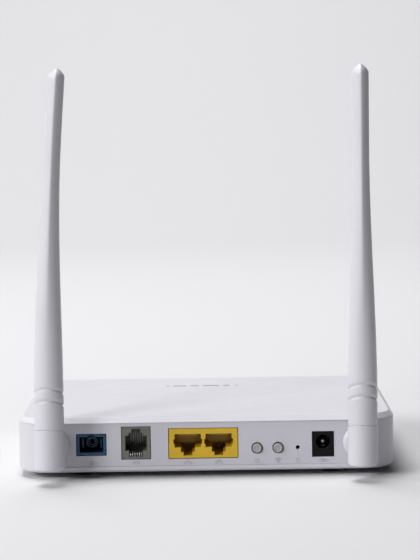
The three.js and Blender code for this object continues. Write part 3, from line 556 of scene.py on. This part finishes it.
def bent(x, z, radius, start, end, steps=20):
    """Points of an arc, in degrees anticlockwise from +X."""
    turns = [math.radians(start + (end - start) * i / steps) for i in range(steps + 1)]
    return [(x + radius * math.cos(t), z + radius * math.sin(t)) for t in turns]


def circle(x, z, radius, steps=24):
    return bent(x, z, radius, 0, 360, steps)[:-1]


LINE = 0.32
DOT = 0.3
MARK_Z = 7.1


def dot(x, z, radius=DOT):
    return (circle(x, z, radius / 2, 12), radius * 0.98, True)


def line(*points):
    return (list(points), LINE, False)


def box_mark(x, z, half):
    corners = [(x - half, z - half), (x + half, z - half), (x + half, z + half), (x - half, z + half)]
    return (corners, LINE, True)


def fibre_mark(x, z):
    return [(circle(x, z, 0.9), LINE, True), dot(x, z), line((x + 1.2, z), (x + 2.4, z))]


def phone_mark(x, z):
    return [(bent(x, z - 0.9, 1.5, 35, 145), LINE * 1.5, False), dot(x - 1.3, z - 0.2, 0.4),
            dot(x + 1.3, z - 0.2, 0.4), box_mark(x, z - 0.45, 0.35)]


def network_mark(x, z):
    return [box_mark(x, z + 0.5, 0.35), box_mark(x - 1.3, z - 0.55, 0.35), box_mark(x + 1.3, z - 0.55, 0.35),
            line((x - 1.3, z), (x + 1.3, z))]


def power_mark(x, z):
    return [(bent(x, z, 0.8, 120, 420), LINE, False), line((x, z + 0.2), (x, z + 1.05))]


def radio_mark(x, z):
    arcs = [(bent(x, z - 0.8, radius, 45, 135), LINE, False) for radius in (0.75, 1.35, 1.95)]
    return arcs + [dot(x, z - 0.75)]


def reset_mark(x, z):
    return [(bent(x, z, 0.75, 60, 350), LINE, False), line((x + 0.1, z + 1.0), (x + 0.55, z + 0.62)),
            line((x + 0.55, z + 0.62), (x + 0.15, z + 0.25))]


def supply_mark(x, z):
    return [(circle(x, z, 0.7), LINE, True), dot(x, z, 0.28), line((x - 2.3, z), (x - 0.9, z)),
            line((x + 0.9, z), (x + 2.3, z)), line((x + 2.0, z - 0.45), (x + 2.0, z + 0.45))]


MARKS = [("fibre", fibre_mark, -51.05), ("phone", phone_mark, -31.2), ("network_1", network_mark, -8.2),
         ("network_2", network_mark, 5.5), ("power", power_mark, 22.5), ("radio", radio_mark, 31.8),
         ("reset", reset_mark, 40.6), ("supply", supply_mark, 51.8)]
MARK_HEIGHT = 0.16


def panel_place(point, out):
    return point.x, PANEL_Y / MM - out, point.y


# The raised marks take a darker finish than the panel, as painted shade.
for mark_name, mark, mark_x in MARKS:
    shape = raised(mark(mark_x, MARK_Z), panel_place, MARK_HEIGHT)
    piece_of(f"mark_{mark_name}", *shape, "emboss", "case", slot="white_panel")

BADGE_Y = PANEL_Y / MM + 90
BADGE_HEIGHT = 0.04
BADGE_BARS = [(-16, -9.5), (-7.5, -3.5), (-1.5, 6.5), (8.5, 11.5)]
BADGE_BAR_WIDTH = 2.6
BADGE_DOT_XS, BADGE_DOT = (15, -18.4), 1.1


def badge_place(point, out):
    return point.x, BADGE_Y + point.y, LID_TOP / MM + out


bars = [([(low, 0), (high, 0)], BADGE_BAR_WIDTH, False) for low, high in BADGE_BARS]
piece_of("badge_bars", *raised(bars, badge_place, BADGE_HEIGHT), "print_grey", "case", slot="white_shell")
dots = [dot(x, 0, BADGE_DOT) for x in BADGE_DOT_XS]
piece_of("badge_dots", *raised(dots, badge_place, BADGE_HEIGHT), "print_orange", "case", slot="white_shell")


# ---- Camera -------------------------------------------------------------------------------------

CAMERA_SIDE = 0.00203
CAMERA_DISTANCE = 0.86067               # in front of the rear panel
CAMERA_HEIGHT = 0.17384
CAMERA_PITCH = 0.0993                   # radians below the horizon
CAMERA_YAW = 0.0008
CAMERA_ROLL = 0.0150
CAMERA_LENS = 126.35                    # mm
CAMERA_SENSOR = 36                      # mm
CAMERA_NEAREST = 0.01


def make_camera():
    data = bpy.data.cameras.new("camera")
    data.lens = CAMERA_LENS
    data.sensor_width = CAMERA_SENSOR
    data.clip_start = CAMERA_NEAREST
    camera = bpy.data.objects.new("camera", data)
    camera.location = (CAMERA_SIDE, PANEL_Y - CAMERA_DISTANCE, CAMERA_HEIGHT)
    aim = Euler((math.pi / 2 - CAMERA_PITCH, 0, -CAMERA_YAW)).to_quaternion()
    camera.rotation_mode = "QUATERNION"
    camera.rotation_quaternion = aim @ Quaternion((0, 0, 1), -CAMERA_ROLL)
    scene.collection.objects.link(camera)
    scene.camera = camera


# ---- Studio -------------------------------------------------------------------------------------

WORLD_COLOUR = (0.93, 0.92, 0.96, 1)
WORLD_STRENGTH = 0.02
FLOOR_COLOUR = (0.66, 0.655, 0.668, 1)
FLOOR_HALF, FLOOR_NEAR = 9.0, -9.0
RISE_FROM, RISE_RADIUS, RISE_STEPS, WALL_TOP = 1.2, 1.2, 24, 3.0
LIGHTS = [
    # name, place, what it faces, width and height, watts, spread in degrees
    ("key", (-1.5, -1.6, 1.15), (0, 0, 0.06), (0.7, 0.7), 31, 180),
    ("side", (-2.0, -0.6, 1.05), (0, 0, 0.06), (0.7, 0.7), 17, 180),
    ("top", (-0.30, 0.10, 1.4), (0, 0, 0), (0.9, 0.7), 16, 180),
    ("backdrop", (0, 0.9, 1.6), (0, 2.3, 0.5), (2.0, 0.8), 24, 180),
    ("floor_left", (-3.6, 0.2, 2.6), (-5.0, 0.2, 0), (3.0, 3.0), 12, 90),
    ("floor_right", (3.0, 0.0, 2.6), (4.2, 0.0, 0), (3.4, 3.0), 14, 90),
]


def area_light(name, location, target, size, power, spread):
    data = bpy.data.lights.new(name, "AREA")
    data.shape = "RECTANGLE"
    data.size, data.size_y = size
    data.energy = power
    data.spread = math.radians(spread)
    lamp = bpy.data.objects.new(name, data)
    lamp.location = location
    lamp.rotation_mode = "QUATERNION"
    lamp.rotation_quaternion = (Vector(target) - Vector(location)).to_track_quat("-Z", "Y")
    scene.collection.objects.link(lamp)


def make_world():
    """Faint even room light."""
    world = bpy.data.worlds.new("studio")
    world.use_nodes = True
    background = world.node_tree.nodes["Background"]
    background.inputs["Color"].default_value = WORLD_COLOUR
    background.inputs["Strength"].default_value = WORLD_STRENGTH
    scene.world = world


def make_floor():
    """A plain pale sweep that rises behind the object."""
    material = bpy.data.materials.new("studio_floor")
    material.use_nodes = True
    tree = material.node_tree
    tree.nodes.clear()
    paper = add(tree, "BsdfDiffuse", Color=FLOOR_COLOUR)
    result = add(tree, "OutputMaterial")
    join(tree, paper.outputs[0], result.inputs["Surface"])

    profile = [(FLOOR_NEAR, 0.0)]
    for i in range(RISE_STEPS + 1):
        angle = math.pi / 2 * i / RISE_STEPS
        y = RISE_FROM + RISE_RADIUS * math.sin(angle)
        profile.append((y, RISE_RADIUS * (1 - math.cos(angle))))
    profile.append((RISE_FROM + RISE_RADIUS, WALL_TOP))
    vertices = [(x, y, z) for y, z in profile for x in (-FLOOR_HALF, FLOOR_HALF)]
    faces = [(2 * i, 2 * i + 1, 2 * i + 3, 2 * i + 2) for i in range(len(profile) - 1)]
    mesh = bpy.data.meshes.new("studio_floor")
    mesh.from_pydata(vertices, [], faces)
    mesh.shade_smooth()
    floor = bpy.data.objects.new("studio_floor", mesh)
    floor.data.materials.append(material)
    scene.collection.objects.link(floor)


def make_studio():
    make_world()
    make_floor()
    scene.view_settings.view_transform = "Standard"
    for light in LIGHTS:
        area_light(*light)


make_camera()
make_studio()
